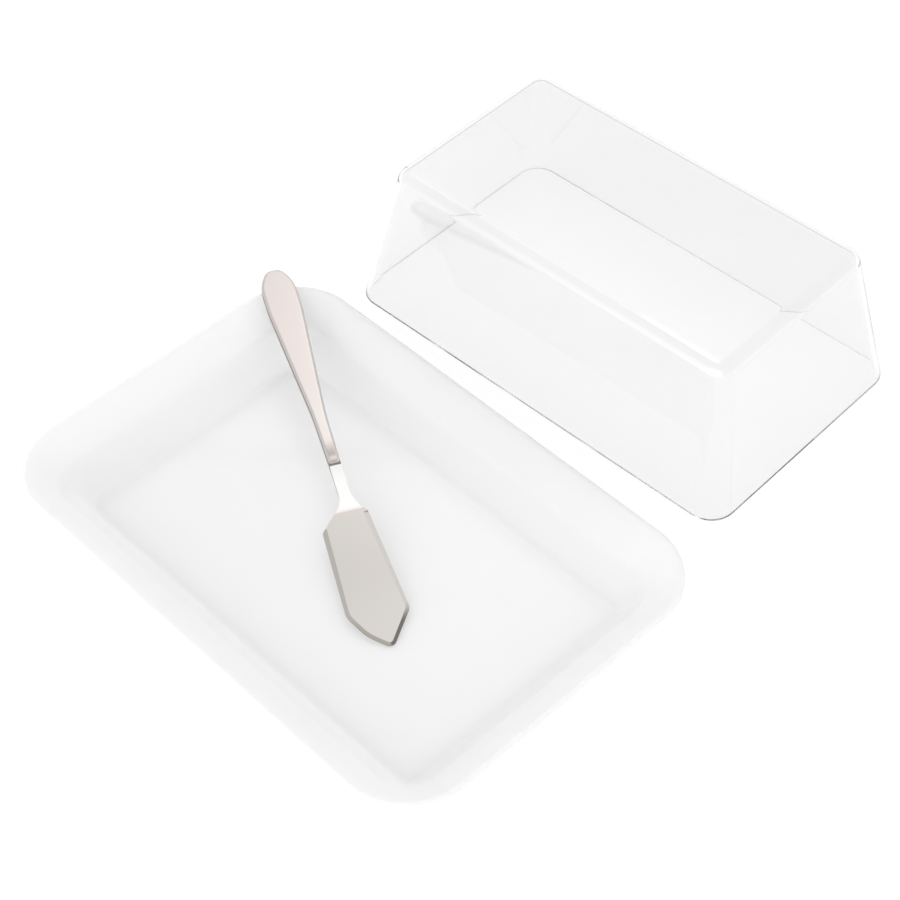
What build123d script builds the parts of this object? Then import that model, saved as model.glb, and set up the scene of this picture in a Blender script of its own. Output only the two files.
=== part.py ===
from build123d import *
import math
import os

# A butter dish with its cover off: a flared white tray, a clear cover standing behind it, and a
# steel butter knife that lies in the tray with its handle over one corner.
# Millimetres. The origin is on the table, in the middle of the rectangle that just holds the whole
# set. X runs along the tray, Y across it towards the cover, and Z is up.

# Tray
tray_length = 195.0  # over the rim
tray_width = 133.0
tray_wall = 2.4
floor_height = 3.5  # table to the top of the floor
lower_wall_rise = 12.0  # the steep foot of the wall, from the floor to its knee
lower_wall_run = 8.0
upper_wall_rise = 8.6  # the flatter flare, from the knee to the rim
upper_wall_run = 12.0
floor_corner = 4.0  # corner radius of the floor in plan
floor_round = 4.0
knee_round = 7.0
rim_round = 1.1
heel_round = 1.6  # outer edge at the foot of the wall
foot_ring_width = 3.0
foot_ring_height = 1.2
gate_radius = 3.0  # moulding gate under the middle of the floor
gate_depth = 0.4

# Cover
cover_height = 56.9
cover_draft = 11.4  # how far each wall leans in between its foot and the top
cover_wall = 1.5
cover_corner = 8.2  # radius of the leaning corner edges
cover_top_round = 5.3
cover_foot_bevel = 0.3
cover_seat_height = 9.0  # above the tray's floor, where the cover's ends land on the walls
cover_side_gap = 3.05  # air left between the cover and each long wall of the tray
cover_place = (-11.0, 139.7)  # from the middle of the tray
cover_turn = 2.4  # degrees

# Butter knife, measured from its tip along its own axis; the cutting side is to the left of it
knife_length = 155.0
cutting_shoulder = 46.2
back_shoulder = 50.6
cutting_half_width = 11.3
cutting_shoulder_half_width = 10.6
back_half_width = 8.9
back_shoulder_half_width = 5.8
cutting_tip_length = 14.5  # tip to where each edge turns in towards it
back_tip_length = 12.5
tip_belly = (6.3, 7.0)  # the fullest point of the curved edge from the cutting side to the tip
belly_round = 16.0
cutting_turn_round = 8.0
back_turn_round = 3.5
shoulder_round = 1.3
tip_round = 2.2
tip_thickness = 0.9
blade_thickness = 1.3
bevel_width = 1.7
bevel_edge_thickness = 0.3
neck_start = 55.3
neck_end = 70.3
neck_width = 3.9
neck_thickness = 3.0
cutting_hollow_round = 8.0  # the hollows between the neck and the two shoulders
back_hollow_round = 14.0
handle_thickness = 3.2
handle_front_width = 4.0
handle_waist = 91.0  # from the tip to where the handle starts to widen
handle_waist_width = 4.8
handle_waist_round = 120.0
handle_end_width = 12.1
handle_end_length = 18.0  # the part past the flare
handle_flare_round = 60.0
handle_end_turn = 5.9  # from the end to where each side turns in towards it
handle_end_turn_round = 14.5
handle_end_flat = 5.0  # width of the blunt tip between its two rounds
handle_end_flat_round = 3.4
handle_round = 1.0
knife_tip = (37.4, -14.7)  # from the middle of the tray
knife_heading = 152.6  # degrees in plan, from X to the way that the handle points

# Clearances
floor_gap = 0.3  # under the knife's lowest point
rim_gap = 0.6  # under the middle of the handle, where it crosses the rim aslant
overcut = 1.0  # how far a cutter runs past what it cuts

# Worked out from the sizes above
wall_run = lower_wall_run + upper_wall_run
section_reach = 0.8 * floor_corner  # of the swept wall section in over the floor; less than its corner
floor_length = tray_length - 2 * wall_run
floor_width = tray_width - 2 * wall_run
knee_height = floor_height + lower_wall_rise
lower_slope = math.atan2(lower_wall_rise, lower_wall_run)
upper_slope = math.atan2(upper_wall_rise, upper_wall_run)
rim_corner_height = knee_height + upper_wall_rise
rim_crest_height = rim_corner_height - rim_round * (1 / math.tan((math.pi / 2 - upper_slope) / 2) - 1)


def plan_outline(points, close=True):
    """Straight edges through (x, y, radius) points, with each corner rounded by its radius."""
    corners = [(x, y) for x, y, radius in points]
    turning = points if close else points[1:-1]
    return FilletPolyline(*corners, radius=[radius for x, y, radius in turning], close=close)


def wall_section():
    """The tray's wall and foot ring cut across, as distance out from the floor's edge, and height."""
    mean_slope = (lower_slope + upper_slope) / 2
    knee_depth = tray_wall / math.cos((lower_slope - upper_slope) / 2)
    knee_out = lower_wall_run + knee_depth * math.sin(mean_slope)
    knee_under = knee_height - knee_depth * math.cos(mean_slope)
    rim_under = rim_corner_height - tray_wall / math.cos(upper_slope)
    heel_out = tray_wall / math.sin(lower_slope) - floor_height / math.tan(lower_slope)
    ring_in = heel_out - foot_ring_width
    corners = [
        (-section_reach, floor_height, 0),
        (0, floor_height, floor_round),
        (lower_wall_run, knee_height, knee_round),
        (wall_run, rim_corner_height, rim_round),
        (wall_run, rim_under, 0),
        (knee_out, knee_under, knee_round + tray_wall),
        (heel_out, 0, heel_round),
        (ring_in, 0, 0),
        (ring_in, foot_ring_height, 0),
        (-section_reach, foot_ring_height, 0),
    ]
    return make_face(plan_outline(corners))


def build_tray():
    """One wall section carried round the floor's outline, with the floor and its gate mark."""
    floor_plan = RectangleRounded(floor_length, floor_width, floor_corner)
    section_plane = Plane(origin=(floor_length / 2, 0, 0), x_dir=(1, 0, 0), z_dir=(0, -1, 0))
    wall = sweep(section_plane * wall_section(), path=floor_plan.wire())
    floor = Pos(0, 0, foot_ring_height) * extrude(floor_plan, floor_height - foot_ring_height)
    gate = Pos(0, 0, foot_ring_height) * extrude(Circle(gate_radius), gate_depth)
    return wall + floor - gate


def leaning_block(length, width, height, corner, top_round, bottom=0.0):
    """A block with leaning walls, rounded corners and a rounded top; its sizes are those at z = 0."""
    lean = cover_draft / cover_height
    spread = 2 * lean * bottom
    plan = Pos(0, 0, bottom) * Rectangle(length - spread, width - spread)
    block = extrude(plan, height - bottom, taper=math.degrees(math.atan(lean)))
    leaning_edges = block.edges().filter_by(Plane.XY, reverse=True)
    block = fillet(leaning_edges, corner)
    return fillet(block.edges().group_by(Axis.Z)[-1], top_round)


def build_cover():
    """A drafted box with a rounded top, hollow and open below."""
    seat_out = cover_seat_height / math.tan(lower_slope)
    length = floor_length + 2 * seat_out
    width = floor_width + 2 * (seat_out - cover_side_gap)
    wall_across = cover_wall * math.hypot(1, cover_draft / cover_height)
    outer = leaning_block(length, width, cover_height, cover_corner, cover_top_round)
    inner = leaning_block(
        length - 2 * wall_across,
        width - 2 * wall_across,
        cover_height - cover_wall,
        cover_corner - wall_across,
        cover_top_round - cover_wall,
        bottom=-overcut,
    )
    cover = outer - inner
    cover = chamfer(cover.edges().group_by(Axis.Z)[0], cover_foot_bevel)
    return Pos(*cover_place, 0) * Rot(0, 0, cover_turn) * cover


def rim_distance(x, y):
    """How far a point lies outside the rim's crest in plan; negative inside it."""
    inset = rim_round
    corner = floor_corner + wall_run - inset
    beyond_x = abs(x) - (tray_length / 2 - inset - corner)
    beyond_y = abs(y) - (tray_width / 2 - inset - corner)
    return math.hypot(max(beyond_x, 0), max(beyond_y, 0)) + min(max(beyond_x, beyond_y), 0) - corner


def rim_reach():
    """Distance in plan from the knife's tip, along the knife, to the crest of the rim."""
    heading = math.radians(knife_heading)
    near, far = 0.0, tray_length + tray_width
    for _ in range(50):
        middle = (near + far) / 2
        x = knife_tip[0] + middle * math.cos(heading)
        y = knife_tip[1] + middle * math.sin(heading)
        near, far = (middle, far) if rim_distance(x, y) < 0 else (near, middle)
    return near


def bevel_cutter(edge_points):
    """What grinding takes off the blade's upper face along its cutting side and both tip edges."""
    path = plan_outline(edge_points, close=False)
    start = path @ 0
    edge_height = bevel_edge_thickness / 2
    top_height = blade_thickness / 2
    rise_per_width = (top_height - edge_height) / bevel_width
    profile = Polyline(
        (-overcut, edge_height - overcut * rise_per_width),
        (bevel_width, top_height),
        (bevel_width, top_height + overcut),
        (-overcut, top_height + overcut),
        close=True,
    )
    inward = Plane(origin=start, x_dir=(0, -1, 0), z_dir=path % 0)
    return sweep(inward * make_face(profile), path=path)


def blade_and_neck():
    """The blade and neck: their plan cut through their own side view, then ground to an edge."""
    half_neck = neck_width / 2
    ground_edge = [
        (cutting_shoulder, cutting_shoulder_half_width, shoulder_round),
        (cutting_tip_length, cutting_half_width, cutting_turn_round),
        (*tip_belly, belly_round),
        (0, 0, tip_round),
        (back_tip_length, -back_half_width, back_turn_round),
        (back_shoulder, -back_shoulder_half_width, shoulder_round),
    ]
    inside_handle = neck_end + handle_round
    neck_edge = [
        (neck_start, -half_neck, back_hollow_round),
        (inside_handle, -half_neck, 0),
        (inside_handle, half_neck, 0),
        (neck_start, half_neck, cutting_hollow_round),
    ]
    plan = extrude(make_face(plan_outline(ground_edge + neck_edge)), neck_thickness, both=True)

    flat = Polyline((0, 0), (0, tip_thickness / 2), (back_shoulder, blade_thickness / 2))
    rise = TangentArc(flat @ 1, (inside_handle, neck_thickness / 2), tangent=flat % 1)
    closing = Polyline(rise @ 1, (inside_handle, 0), (0, 0))
    upper_side = make_face(flat + rise + closing)
    side = upper_side + mirror(upper_side, Plane.XZ)
    side_view = extrude(Plane.XZ * side, tray_width, both=True)

    taper = (cutting_half_width - cutting_shoulder_half_width) / (cutting_shoulder - cutting_tip_length)
    past_shoulder = (cutting_shoulder + overcut, cutting_shoulder_half_width - overcut * taper, 0)
    cutter = bevel_cutter([past_shoulder] + ground_edge[1:])
    return plan & side_view - cutter - mirror(cutter, Plane.XY)


def handle():
    """A flat bar that widens to a blunt round end, its upper and lower edges rounded."""
    left_side = [
        (neck_end, handle_front_width / 2, 0),
        (handle_waist, handle_waist_width / 2, handle_waist_round),
        (knife_length - handle_end_length, handle_end_width / 2, handle_flare_round),
        (knife_length - handle_end_turn, handle_end_width / 2, handle_end_turn_round),
        (knife_length, handle_end_flat / 2, handle_end_flat_round),
    ]
    right_side = [(x, -y, radius) for x, y, radius in reversed(left_side)]
    plan = make_face(plan_outline(left_side + right_side))
    bar = extrude(plan, handle_thickness / 2, both=True)
    broad_faces = bar.faces().filter_by(Axis.Z)
    return fillet(broad_faces[0].edges() + broad_faces[1].edges(), handle_round)


def build_knife():
    """One piece of steel, its tip just over the tray's floor and its handle just over the rim."""
    knife = blade_and_neck() + handle()
    tip_bearing = bevel_width + tip_round / 2  # from the tip to the knife's lowest point
    rise = rim_crest_height + rim_gap - floor_height - floor_gap + (handle_thickness - tip_thickness) / 2
    slope = math.degrees(math.atan2(rise, rim_reach() - tip_bearing))
    leaning = Rot(0, 0, knife_heading) * Rot(0, -slope, 0) * knife
    lowest = leaning.bounding_box().min.Z
    return Pos(*knife_tip, floor_height + floor_gap - lowest) * leaning


def write_set():
    """Stands the three pieces as they are used and writes each one as its own file."""
    pieces = {"tray": build_tray(), "cover": build_cover(), "butter_knife": build_knife()}
    middle = Compound(list(pieces.values())).bounding_box().center()
    os.makedirs("parts", exist_ok=True)
    for name, piece in pieces.items():
        placed = Pos(-middle.X, -middle.Y, 0) * piece
        export_step(placed, f"parts/{name}.step")
        box = placed.bounding_box()
        print(f"{name}: {placed.volume / 1000:.1f} cm3, {tuple(box.min)} to {tuple(box.max)}")


write_set()
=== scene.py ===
import math

import bmesh
import bpy
from mathutils import Matrix, Vector


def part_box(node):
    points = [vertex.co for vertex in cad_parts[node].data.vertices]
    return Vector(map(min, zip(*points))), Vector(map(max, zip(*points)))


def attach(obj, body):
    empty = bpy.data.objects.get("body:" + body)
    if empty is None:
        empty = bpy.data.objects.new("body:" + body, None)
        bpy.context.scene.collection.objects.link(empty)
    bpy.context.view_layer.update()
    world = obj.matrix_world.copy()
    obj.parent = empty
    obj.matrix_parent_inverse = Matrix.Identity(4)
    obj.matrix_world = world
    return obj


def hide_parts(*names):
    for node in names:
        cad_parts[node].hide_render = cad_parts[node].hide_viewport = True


# A butter dish with its cover off. The tray and the cover are built again here with finer rounds than
# the frame's nodes have, in the same places and sizes. The knife keeps its node and gets its finish.
# The sizes below are the real ones, in millimetres unless a comment says otherwise. Places on the
# table are given from the middle of the tray's foot, and places on the knife from its tip.

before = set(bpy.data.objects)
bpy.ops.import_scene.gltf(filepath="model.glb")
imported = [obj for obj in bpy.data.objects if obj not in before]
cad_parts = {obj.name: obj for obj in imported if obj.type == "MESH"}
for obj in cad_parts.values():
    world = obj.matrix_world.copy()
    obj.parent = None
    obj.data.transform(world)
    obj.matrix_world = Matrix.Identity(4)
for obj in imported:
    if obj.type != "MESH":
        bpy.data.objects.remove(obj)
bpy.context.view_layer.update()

MM = 0.001

# Tray
tray_wall = 2.4
floor_height = 3.5
lower_wall_rise = 12.0
lower_wall_run = 8.0
upper_wall_rise = 8.6
upper_wall_run = 12.0
floor_corner = 4.0
floor_round = 4.0
knee_round = 7.0
rim_round = 1.1
rim_under_round = 0.25
heel_round = 1.6
foot_ring_width = 3.0
foot_ring_height = 1.2
foot_ring_round = 0.25
gate_radius = 3.0
gate_depth = 0.4
section_reach = 3.2  # how far the swept section reaches in over the floor

# Cover
cover_length = 167.0
cover_width = 98.9
cover_draft = 11.4  # how far a wall leans in from its foot to the top
cover_wall = 1.5
cover_foot_corner = 9.6  # corner radius in plan at the foot
cover_top_corner = 6.4  # and at the height of the top
cover_top_round = 5.3
cover_foot_round = 0.3
cover_turn = 2.4  # degrees
profile_reach = 1.0  # how far the wall's profile runs in over the flat top

# Knife
knife_tip = (37.4, -14.7)
knife_heading = 152.6  # degrees, the way from its tip to its handle
knife_slope = 8.25  # degrees, with the tip down
neck_start = (51.0, 53.0)  # where the brushed shoulder goes over into the polished neck
handle_start = (68.8, 69.2)  # where the neck goes over into the handle

# White plastic
tray_tones = ("#D6D6D6", "#D8D8D8")
tray_patch = 33.3
tray_grain = 0.83
tray_grain_depth = 0.02
tray_light_reach = 20.0  # how far light spreads inside the milky plastic

# Clear plastic
cover_tone = "#F8F8F8"
cover_body_tone = "#F3F3F3"
cover_body_density = 24.0  # per metre
cover_swell = 25.0
cover_swell_depth = 0.2

# Steel: the tone at the tip, and the changes after it as start, end and new tone; some of them are painted
# reflection, painted highlight and painted shade
tip_tone = "#CECAC5"
face_tones_and_painted_light = (
    (0.0, 35.0, "#C3BFBA"),  # blade
    (47.5, 51.0, "#C6BFBA"),  # shoulder
    (*neck_start, "#E3E3E2"),  # neck: polished, and whitened in its colour by a painted reflection
    (*handle_start, "#7C7672"),  # painted shade: dark line at the foot of the pressed step
    (69.6, 70.4, "#A19A96"),  # painted shade
    (70.6, 71.6, "#BBB4AF"),  # painted highlight: light line on the step
    (72.2, 73.2, "#A19A96"),  # painted shade
    (73.3, 79.8, "#CBC5C1"),  # lower handle
    (80.8, 108.8, "#C8C0BD"),  # upper handle
)
# Tones of the bevels, the handle's edges and the sides: the light ones are painted reflections, the dark
# ones painted shade
cutting_bevel_painted_reflection = "#CDC9C3"
back_bevel_painted_reflection = "#E8E3DE"
tip_bevel_painted_reflection = "#C2BCB2"
tip_back_painted_shade = "#8A847D"
handle_edge_painted_reflection = "#E3DBD7"
side_painted_shade = "#8A8681"
tip_bevel_end = (8.0, 15.0)  # where the tip's bevels go over into the long ones
back_to_cutting = (-0.05, 0.05)  # sideways part of the normal, from the back to the cutting side
face_to_bevel = (0.005, 0.03)  # 1 less the cosine of the tilt, from the face to a bevel
bevel_to_side = (0.3, 0.7)  # the same, from a bevel to the upright side
blade_roughness = 0.36
neck_roughness = 0.08
handle_roughness = 0.32
brushed_line = (25.0, 0.333, 10.0)  # length, width and height
brushed_depth = 0.05

# Camera
look_at = (-12.1, 57.5, 0.0)
camera_distance = 697.4
camera_azimuth = 47.16  # degrees, as the two below
camera_elevation = 48.14
camera_roll = -1.70
lens = 82.24
sensor = 36.0
seen_from = 0.01  # metres
seen_to = 50.0  # metres

# Studio, in metres; a spread is the degrees from a light's middle to where it is full and where it ends
floor_half = 12.0  # so far that no edge shows in a low view
floor_drop = -0.0001  # just under the pieces' feet
floor_tone = "#8C8C8C"
floor_glow = 0.83
white = "#FFFFFF"
dome_horizon = 0.83
dome_top = 0.70
dome_spread = (45.573, 90.0)
fill_light = 1.9
fill_side = (0.34, -0.935, 0.1)
fill_spread = (0.0, 60.0)
glow_light = 0.60
glow_side = (-0.41, 0.34, 0.846)
glow_spread = (12.0, 21.0)
softbox_place = (-0.289, 0.377, 0.817)
softbox_across = 0.2
softbox_power = 0.4  # watts

# Cycles: light that runs on inside the cover's wall still comes out at its edges
wall_bounces = 160

CORNER_STEPS = 18
ROUND_STEPS = 10
GATE_STEPS = 48
MERGE = 0.01 * MM
SHARP_EDGE = math.radians(30)
FLAT_FACE_WEIGHT = 100


def linear(hex_colour):
    """An sRGB hex colour as the linear colour that a shader takes."""
    channels = [int(hex_colour[i : i + 2], 16) / 255 for i in (1, 3, 5)]
    return (*[c / 12.92 if c <= 0.04045 else ((c + 0.055) / 1.055) ** 2.4 for c in channels], 1.0)


def give(tree, node, inputs):
    """Fills a node's inputs, each with a value, an output socket to link from, or a list of these."""
    for name, value in inputs.items():
        for source in value if isinstance(value, list) else [value]:
            if isinstance(source, bpy.types.NodeSocket):
                tree.links.new(source, node.inputs[name])
            else:
                node.inputs[name].default_value = source


def add(tree, kind, inputs=None, **settings):
    """Adds one node with its settings and links."""
    made = tree.nodes.new(kind)
    for name, value in settings.items():
        setattr(made, name, value)
    give(tree, made, inputs or {})
    return made


def foot_middle(node_name):
    """The middle of a piece's foot, on the table."""
    low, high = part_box(node_name)
    middle = (low + high) / 2
    return Vector((middle.x, middle.y, 0))


def rounded_line(corners):
    """Points along straight lines through (x, y, radius) corners, with an arc at each inner corner."""
    points = [Vector(corners[0][:2])]
    for before, corner, after in zip(corners, corners[1:], corners[2:]):
        here = Vector(corner[:2])
        back = (Vector(before[:2]) - here).normalized()
        ahead = (Vector(after[:2]) - here).normalized()
        opening = back.angle(ahead)
        reach = corner[2] / math.tan(opening / 2)
        middle = here + (back + ahead).normalized() * corner[2] / math.sin(opening / 2)
        start = here + back * reach - middle
        turn = (math.pi - opening) * (1 if back.cross(ahead) < 0 else -1)
        for step in range(ROUND_STEPS + 1):
            points.append(middle + Matrix.Rotation(turn * step / ROUND_STEPS, 2) @ start)
    points.append(Vector(corners[-1][:2]))
    return points


def tray_section():
    """The wall cut across, from the floor out over the rim and back to the underside."""
    lower = math.atan2(lower_wall_rise, lower_wall_run)
    upper = math.atan2(upper_wall_rise, upper_wall_run)
    mean = (lower + upper) / 2
    knee_height = floor_height + lower_wall_rise
    knee_depth = tray_wall / math.cos((lower - upper) / 2)
    knee_under = (lower_wall_run + knee_depth * math.sin(mean), knee_height - knee_depth * math.cos(mean))
    rim_out = lower_wall_run + upper_wall_run
    rim_height = knee_height + upper_wall_rise
    heel_out = tray_wall / math.sin(lower) - floor_height / math.tan(lower)
    ring_in = heel_out - foot_ring_width
    return rounded_line([
        (-section_reach, floor_height, 0),
        (0, floor_height, floor_round),
        (lower_wall_run, knee_height, knee_round),
        (rim_out, rim_height, rim_round),
        (rim_out, rim_height - tray_wall / math.cos(upper), rim_under_round),
        (*knee_under, knee_round + tray_wall),
        (heel_out, 0, heel_round),
        (ring_in, 0, foot_ring_round),
        (ring_in, foot_ring_height, foot_ring_round),
        (-section_reach, foot_ring_height, 0),
    ])


def section_curve(points):
    """The tray's section as the sweep reads it: out along X and down along Y."""
    data = bpy.data.curves.new("tray_section", "CURVE")
    data.dimensions = "3D"
    line = data.splines.new("POLY")
    line.points.add(len(points) - 1)
    for point, place in zip(line.points, points):
        point.co = (place.x * MM, -place.y * MM, 0.0, 1.0)
    made = bpy.data.objects.new("tray_section", data)
    bpy.context.scene.collection.objects.link(made)
    return made


def tray_tree():
    """Geometry nodes that carry the wall's section round the floor and close it above and below."""
    tree = bpy.data.node_groups.new("tray_from_section", "GeometryNodeTree")
    sockets = {
        "Section": "NodeSocketGeometry",
        "Floor length": "NodeSocketFloat",
        "Floor width": "NodeSocketFloat",
        "Floor corner": "NodeSocketFloat",
        "Floor top": "NodeSocketFloat",
        "Underside": "NodeSocketFloat",
        "Gate radius": "NodeSocketFloat",
        "Gate depth": "NodeSocketFloat",
        "Corner steps": "NodeSocketInt",
        "Plastic": "NodeSocketMaterial",
    }
    for name, kind in sockets.items():
        tree.interface.new_socket(name, in_out="INPUT", socket_type=kind)
    tree.interface.new_socket("Tray", in_out="OUTPUT", socket_type="NodeSocketGeometry")
    given = add(tree, "NodeGroupInput").outputs

    def raised(geometry, height):
        place = add(tree, "ShaderNodeCombineXYZ", {"Z": height}).outputs[0]
        return add(tree, "GeometryNodeTransform", {"Geometry": geometry, "Translation": place}).outputs[0]

    def closed(curves, height):
        flat = add(tree, "GeometryNodeFillCurve", {"Curve": curves}, mode="NGONS").outputs[0]
        return raised(flat, height)

    size = {0: given["Floor length"], 1: given["Floor width"]}
    outline = add(tree, "GeometryNodeCurvePrimitiveQuadrilateral", size).outputs[0]
    turn = {"Curve": outline, "Radius": given["Floor corner"], "Count": given["Corner steps"]}
    floor_line = add(tree, "GeometryNodeFilletCurve", turn, mode="POLY").outputs[0]
    sweep = {"Curve": floor_line, "Profile Curve": given["Section"]}
    wall = add(tree, "GeometryNodeCurveToMesh", sweep).outputs[0]

    # The gate mark: a round recess in the underside
    gate_size = {"Resolution": GATE_STEPS, "Radius": given["Gate radius"]}
    gate = add(tree, "GeometryNodeCurvePrimitiveCircle", gate_size).outputs[0]
    gate_top = add(tree, "ShaderNodeMath", {0: given["Underside"], 1: given["Gate depth"]}).outputs[0]
    downward = {0: given["Gate depth"], 1: -1.0}
    gate_rise = add(tree, "ShaderNodeMath", downward, operation="MULTIPLY").outputs[0]
    gate_line_end = add(tree, "ShaderNodeCombineXYZ", {"Y": gate_rise}).outputs[0]
    gate_line = add(tree, "GeometryNodeCurvePrimitiveLine", {"End": gate_line_end}).outputs[0]
    gate_side = add(tree, "GeometryNodeCurveToMesh", {"Curve": gate, "Profile Curve": gate_line}).outputs[0]

    # The swept wall's two open loops, one at the floor and one at the underside
    edge_faces = add(tree, "GeometryNodeInputMeshEdgeNeighbors").outputs[0]
    is_open = add(tree, "FunctionNodeCompare", {2: edge_faces, 3: 1}, data_type="INT", operation="EQUAL")
    place = add(tree, "GeometryNodeInputPosition").outputs[0]
    height = add(tree, "ShaderNodeSeparateXYZ", {0: place}).outputs["Z"]
    open_loops = []
    for side in ("GREATER_THAN", "LESS_THAN"):
        is_side = add(tree, "FunctionNodeCompare", {0: height, 1: gate_top}, operation=side)
        both = {0: is_open.outputs[0], 1: is_side.outputs[0]}
        chosen = add(tree, "FunctionNodeBooleanMath", both).outputs[0]
        loop = add(tree, "GeometryNodeMeshToCurve", {"Mesh": wall, "Selection": chosen}).outputs[0]
        open_loops.append(loop)
    underside = add(tree, "GeometryNodeJoinGeometry", {0: [open_loops[1], gate]}).outputs[0]

    whole = add(tree, "GeometryNodeJoinGeometry", {0: [
        wall,
        closed(open_loops[0], given["Floor top"]),
        closed(underside, given["Underside"]),
        raised(gate_side, given["Underside"]),
        closed(gate, gate_top),
    ]}).outputs[0]
    merged = add(tree, "GeometryNodeMergeByDistance", {"Geometry": whole, "Distance": MERGE}).outputs[0]
    real = add(tree, "GeometryNodeRealizeInstances", {"Geometry": merged}).outputs[0]
    finish = {"Geometry": real, "Material": given["Plastic"]}
    add(tree, "NodeGroupOutput", {0: add(tree, "GeometryNodeSetMaterial", finish).outputs[0]})
    return tree


def set_inputs(modifier, tree, values):
    """Sets a geometry nodes modifier's inputs by name, through their sockets' identifiers."""
    for socket in tree.interface.items_tree:
        if socket.in_out == "INPUT" and socket.name in values:
            modifier[socket.identifier] = values[socket.name]


def evaluated_mesh(source, name):
    """The object's mesh with all its modifiers worked in."""
    depsgraph = bpy.context.evaluated_depsgraph_get()
    mesh = bpy.data.meshes.new_from_object(source.evaluated_get(depsgraph))
    mesh.name = name
    return mesh


def settle(mesh):
    """Merges doubles, points all faces outwards and shades the rounds smooth between true edges."""
    shape = bmesh.new()
    shape.from_mesh(mesh)
    bmesh.ops.remove_doubles(shape, verts=shape.verts, dist=MERGE)
    bmesh.ops.recalc_face_normals(shape, faces=shape.faces)
    for face in shape.faces:
        face.smooth = True
    for edge in shape.edges:
        if len(edge.link_faces) == 2:
            edge.smooth = edge.calc_face_angle() < SHARP_EDGE
    shape.to_mesh(mesh)
    shape.free()


def weighted(mesh, name):
    """The mesh with its broad flat faces shaded flat and its rounds smooth."""
    holder = bpy.data.objects.new("holder", mesh)
    bpy.context.scene.collection.objects.link(holder)
    normals = holder.modifiers.new("face_weights", "WEIGHTED_NORMAL")
    normals.keep_sharp = True
    normals.weight = FLAT_FACE_WEIGHT
    made = evaluated_mesh(holder, name)
    bpy.data.objects.remove(holder)
    return made


def show_moulding(name, mesh, body, node_name):
    """Puts a moulded piece's mesh in the scene in place of its node of the frame."""
    settle(mesh)
    made = bpy.data.objects.new(name, weighted(mesh, name))
    bpy.context.scene.collection.objects.link(made)
    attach(made, body)
    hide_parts(node_name)


def build_tray():
    """The tray: one wall section swept round the floor."""
    low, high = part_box("tray")
    wall_run = 2 * (lower_wall_run + upper_wall_run) * MM
    section = section_curve(tray_section())
    tree = tray_tree()
    sweep = section.modifiers.new("sweep", "NODES")
    sweep.node_group = tree
    set_inputs(sweep, tree, {
        "Floor length": high.x - low.x - wall_run,
        "Floor width": high.y - low.y - wall_run,
        "Floor corner": floor_corner * MM,
        "Floor top": floor_height * MM,
        "Underside": foot_ring_height * MM,
        "Gate radius": gate_radius * MM,
        "Gate depth": gate_depth * MM,
        "Corner steps": CORNER_STEPS,
        "Plastic": white_plastic(),
    })
    mesh = evaluated_mesh(section, "tray_mesh")
    bpy.data.objects.remove(section)
    mesh.transform(Matrix.Translation(foot_middle("tray")))
    show_moulding("white_tray", mesh, "tray", "tray")


def cover_ring(half_length, half_width, corner, height):
    """Points round a rectangle with round corners, the same number of them whatever its size."""
    points = []
    for quarter, (x_side, y_side) in enumerate(((1, 1), (-1, 1), (-1, -1), (1, -1))):
        for step in range(CORNER_STEPS + 1):
            angle = (quarter + step / CORNER_STEPS) * math.pi / 2
            x = x_side * (half_length - corner) + corner * math.cos(angle)
            y = y_side * (half_width - corner) + corner * math.sin(angle)
            points.append(Vector((x, y, height)) * MM)
    return points


def cover_profile(height):
    """The cover's wall as (inset from the foot line, height): the outside from the top, then the inside."""
    lean = cover_draft / height
    across = cover_wall * math.hypot(1, lean)
    inner_height = height - cover_wall
    inner_edge = across + lean * inner_height
    inner_round = cover_top_round - cover_wall
    return rounded_line([
        (cover_draft + cover_top_round + profile_reach, height, 0),
        (cover_draft, height, cover_top_round),
        (0, 0, cover_foot_round),
        (across, 0, cover_foot_round),
        (inner_edge, inner_height, inner_round),
        (inner_edge + inner_round + profile_reach, inner_height, 0),
    ])


def build_cover():
    """The cover: rings of the wall's profile joined into one closed shell."""
    full_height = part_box("cover")[1].z / MM
    shape = bmesh.new()
    rings = []
    for inset, height in cover_profile(full_height):
        share = height / full_height
        wall_corner = cover_foot_corner + (cover_top_corner - cover_foot_corner) * share
        corner = wall_corner - (inset - cover_draft * share)
        points = cover_ring(cover_length / 2 - inset, cover_width / 2 - inset, corner, height)
        rings.append([shape.verts.new(point) for point in points])
    for upper, lower in zip(rings, rings[1:]):
        for i in range(len(upper)):
            j = (i + 1) % len(upper)
            shape.faces.new((upper[i], upper[j], lower[j], lower[i]))
    shape.faces.new(rings[0])
    shape.faces.new(rings[-1])
    mesh = bpy.data.meshes.new("cover_mesh")
    shape.to_mesh(mesh)
    shape.free()
    turn = Matrix.Rotation(math.radians(cover_turn), 4, "Z")
    mesh.transform(Matrix.Translation(foot_middle("cover")) @ turn)
    mesh.materials.append(clear_plastic())
    show_moulding("clear_cover", mesh, "cover", "cover")


def new_finish(name):
    """A new node material, its tree and its shader."""
    material = bpy.data.materials.new(name)
    material.use_nodes = True
    return material, material.node_tree, material.node_tree.nodes["Principled BSDF"]


def in_millimetres(tree, origin, heading=0.0):
    """The object's own coordinates in millimetres about a point, with X along a heading in degrees."""
    own = add(tree, "ShaderNodeTexCoord").outputs["Object"]
    return add(tree, "ShaderNodeMapping", {
        "Vector": own,
        "Location": origin,
        "Rotation": (0, 0, math.radians(heading)),
        "Scale": (MM, MM, MM),
    }, vector_type="TEXTURE").outputs[0]


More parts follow.
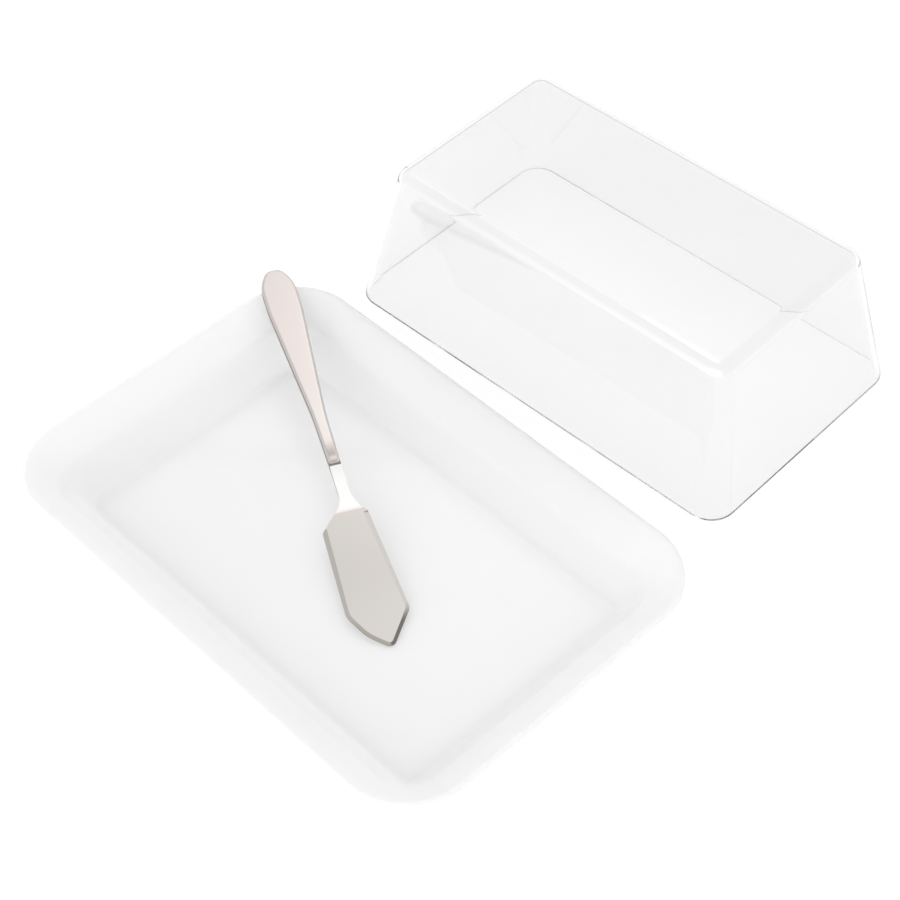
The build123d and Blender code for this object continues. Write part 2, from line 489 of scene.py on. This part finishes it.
def white_plastic():
    """Injection-moulded polypropylene: milky white with a soft, broad shine."""
    material, tree, shader = new_finish("moulded_white_polypropylene")
    place = in_millimetres(tree, foot_middle("tray"))
    # Where the melt has flowed it cools in wide, faint clouds
    cloud = {"Vector": place, "Scale": 1 / tray_patch, "Detail": 3.0}
    clouds = add(tree, "ShaderNodeTexNoise", cloud).outputs[0]
    tones = {0: clouds, 6: linear(tray_tones[0]), 7: linear(tray_tones[1])}
    colour = add(tree, "ShaderNodeMix", tones, data_type="RGBA").outputs[2]
    # The mould leaves a grain of some 0.05 mm that softens the shine; it is drawn coarser, to show
    grain = {"Vector": place, "Scale": 1 / tray_grain, "Detail": 4.0}
    grained = add(tree, "ShaderNodeTexNoise", grain).outputs[0]
    depth = {"Height": grained, "Strength": 0.15, "Distance": tray_grain_depth * MM}
    give(tree, shader, {
        "Base Color": colour,
        "Normal": add(tree, "ShaderNodeBump", depth).outputs[0],
        "Roughness": 0.42,
        "IOR": 1.49,
        "Subsurface Weight": 1.0,
        "Subsurface Radius": (1.0, 1.0, 1.0),
        "Subsurface Scale": tray_light_reach * MM,
    })
    return material


def clear_plastic():
    """Injection-moulded polystyrene: glass clear and glossy, grey where one looks along a wall."""
    material, tree, shader = new_finish("moulded_clear_polystyrene")
    place = in_millimetres(tree, foot_middle("tray"))
    # A cooled wall is never quite flat: low, wide swells bend what it mirrors a little
    swell = {"Vector": place, "Scale": 1 / cover_swell, "Detail": 1.0}
    swells = add(tree, "ShaderNodeTexNoise", swell).outputs[0]
    depth = {"Height": swells, "Strength": 0.2, "Distance": cover_swell_depth * MM}
    give(tree, shader, {
        "Base Color": linear(cover_tone),
        "Normal": add(tree, "ShaderNodeBump", depth).outputs[0],
        "Roughness": 0.0,
        "IOR": 1.59,
        "Transmission Weight": 1.0,
    })
    # Light that runs a long way inside a wall is dimmed, which draws the cover's edges in grey
    dimming = {"Color": linear(cover_body_tone), "Density": cover_body_density}
    body = add(tree, "ShaderNodeVolumeAbsorption", dimming).outputs[0]
    give(tree, tree.nodes["Material Output"], {"Volume": body})
    return material


def knife_steel():
    """Stainless steel: a blade and a handle brushed to a soft grey, and a polished neck that mirrors; its
    colour also holds painted reflections, a painted highlight and painted shade.
    """
    material, tree, shader = new_finish("brushed_and_polished_stainless_steel")
    tip = foot_middle("tray") + Vector((*knife_tip, 0)) * MM
    along = in_millimetres(tree, tip, knife_heading)
    distance = add(tree, "ShaderNodeSeparateXYZ", {0: along}).outputs["X"]

    def changing(value, start, end, before, after):
        """A tone that goes over into the next one while the value runs from start to end."""
        run = {"Value": value, "From Min": start, "From Max": end}
        share = add(tree, "ShaderNodeMapRange", run, interpolation_type="SMOOTHSTEP").outputs[0]
        return add(tree, "ShaderNodeMix", {0: share, 6: before, 7: after}, data_type="RGBA").outputs[2]

    # The knife's own tones along it, with a painted reflection on the neck and a painted highlight and
    # painted shade at the handle's foot
    face_colour_and_painted_light = linear(tip_tone)
    for start, end, tone in face_tones_and_painted_light:
        face_colour_and_painted_light = changing(distance, start, end, face_colour_and_painted_light, linear(tone))

    # The ground bevels and the sides are told from the face by how far they tilt from it; their tones are
    # painted reflection and painted shade
    slope = math.radians(knife_slope)
    heading = math.radians(knife_heading)
    face = (-math.sin(slope) * math.cos(heading), -math.sin(slope) * math.sin(heading), math.cos(slope))
    cutting_side = (-math.sin(heading), math.cos(heading), 0)
    normal = add(tree, "ShaderNodeTexCoord").outputs["Normal"]
    facing, turned = [
        add(tree, "ShaderNodeVectorMath", {0: normal, 1: side}, operation="DOT_PRODUCT").outputs["Value"]
        for side in (face, cutting_side)
    ]
    tilt = add(tree, "ShaderNodeMath", {0: 1.0, 1: facing}, operation="SUBTRACT").outputs[0]
    tip_bevel = changing(turned, *back_to_cutting, linear(tip_back_painted_shade), linear(tip_bevel_painted_reflection))
    painted_long_bevel = changing(turned, *back_to_cutting, linear(back_bevel_painted_reflection), linear(cutting_bevel_painted_reflection))
    painted_blade_bevel = changing(distance, *tip_bevel_end, tip_bevel, painted_long_bevel)
    painted_bevel_colour = changing(distance, *handle_start, painted_blade_bevel, linear(handle_edge_painted_reflection))
    face_with_painted_bevels = changing(tilt, *face_to_bevel, face_colour_and_painted_light, painted_bevel_colour)
    colour = changing(tilt, *bevel_to_side, face_with_painted_bevels, linear(side_painted_shade))

    roughness = blade_roughness
    for (start, end), value in ((neck_start, neck_roughness), (handle_start, handle_roughness)):
        roughness = add(tree, "ShaderNodeMapRange", {
            "Value": distance,
            "From Min": start,
            "From Max": end,
            "To Min": roughness,
            "To Max": value,
        }, interpolation_type="SMOOTHSTEP").outputs[0]

    # Real brushed lines are some 0.03 mm wide, too fine to show; these are ten times as wide
    stretch = {"Vector": along, "Scale": tuple(1 / size for size in brushed_line)}
    stretched = add(tree, "ShaderNodeMapping", stretch).outputs[0]
    lines = add(tree, "ShaderNodeTexNoise", {"Vector": stretched, "Scale": 1.0, "Detail": 3.0}).outputs[0]
    depth = {"Height": lines, "Strength": 0.1, "Distance": brushed_depth * MM}
    give(tree, shader, {
        "Base Color": colour,
        "Roughness": roughness,
        "Normal": add(tree, "ShaderNodeBump", depth).outputs[0],
        "Metallic": 1.0,
    })
    return material


def finish_knife():
    """The knife's node keeps its shape and gets its steel."""
    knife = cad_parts["butter_knife"]
    knife.material_slots[0].material = knife_steel()


def build_floor():
    """A plain white table, lit a little from within as a light table is."""
    mesh = bpy.data.meshes.new("studio_floor")
    corners = [(x * floor_half, y * floor_half, floor_drop) for x, y in ((-1, -1), (1, -1), (1, 1), (-1, 1))]
    mesh.from_pydata(corners, [], [(0, 1, 2, 3)])
    floor = bpy.data.objects.new("studio_floor", mesh)
    bpy.context.scene.collection.objects.link(floor)
    material, tree, shader = new_finish("white_light_table")
    give(tree, shader, {
        "Base Color": linear(floor_tone),
        "Roughness": 0.9,
        "Emission Color": linear(white),
        "Emission Strength": floor_glow,
    })
    mesh.materials.append(material)


def light_studio():
    """A white dome, a fill from the front, a small glow that the knife mirrors and a round softbox."""
    world = bpy.data.worlds.new("studio")
    world.use_nodes = True
    bpy.context.scene.world = world
    tree = world.node_tree
    direction = add(tree, "ShaderNodeTexCoord").outputs["Generated"]

    def light_from(side, spread, light_around, light_there):
        """Light that goes over from what comes from one side to what comes from all around it."""
        nearness = add(tree, "ShaderNodeVectorMath", {0: direction, 1: side}, operation="DOT_PRODUCT")
        full, gone = [math.cos(math.radians(angle)) for angle in spread]
        return add(tree, "ShaderNodeMapRange", {
            "Value": nearness.outputs["Value"],
            "From Min": gone,
            "From Max": full,
            "To Min": light_around,
            "To Max": light_there,
        }, interpolation_type="SMOOTHSTEP").outputs[0]

    dome = light_from((0, 0, 1), dome_spread, dome_horizon, dome_top)
    fill = light_from(fill_side, fill_spread, 0.0, fill_light)
    glow = light_from(glow_side, glow_spread, 0.0, glow_light)
    filled = add(tree, "ShaderNodeMath", {0: dome, 1: fill}).outputs[0]
    strength = add(tree, "ShaderNodeMath", {0: filled, 1: glow}).outputs[0]
    give(tree, tree.nodes["Background"], {"Strength": strength, "Color": linear(white)})

    lamp_data = bpy.data.lights.new("round_softbox", "AREA")
    lamp_data.shape = "DISK"
    lamp_data.size = softbox_across
    lamp_data.energy = softbox_power
    lamp = bpy.data.objects.new("round_softbox", lamp_data)
    lamp.matrix_world = Matrix.Translation(softbox_place)
    bpy.context.scene.collection.objects.link(lamp)


def place_camera():
    """The photograph's view, as a real lens sees it."""
    target = foot_middle("tray") + Vector(look_at) * MM
    azimuth = math.radians(camera_azimuth)
    elevation = math.radians(camera_elevation)
    back = Vector((
        math.sin(azimuth) * math.cos(elevation),
        -math.cos(azimuth) * math.cos(elevation),
        math.sin(elevation),
    ))
    right = Vector((math.cos(azimuth), math.sin(azimuth), 0))
    up = back.cross(right)
    roll = math.radians(camera_roll)
    rolled_right = right * math.cos(roll) + up * math.sin(roll)
    rolled_up = up * math.cos(roll) - right * math.sin(roll)
    turn = Matrix((rolled_right, rolled_up, back)).transposed().to_4x4()
    data = bpy.data.cameras.new("photo_camera")
    data.sensor_width = sensor
    data.lens = lens
    data.clip_start = seen_from
    data.clip_end = seen_to
    camera = bpy.data.objects.new("photo_camera", data)
    bpy.context.scene.collection.objects.link(camera)
    camera.matrix_world = Matrix.Translation(target + back * camera_distance * MM) @ turn
    bpy.context.scene.camera = camera


def build_scene():
    """The whole picture, then its plain colour view and how often light may bounce."""
    place_camera()
    build_floor()
    light_studio()
    build_tray()
    build_cover()
    finish_knife()
    look = bpy.context.scene.view_settings
    look.view_transform = "Standard"
    look.look = "None"
    light_paths = bpy.context.scene.cycles
    light_paths.max_bounces = wall_bounces
    light_paths.glossy_bounces = wall_bounces
    light_paths.transmission_bounces = wall_bounces


build_scene()
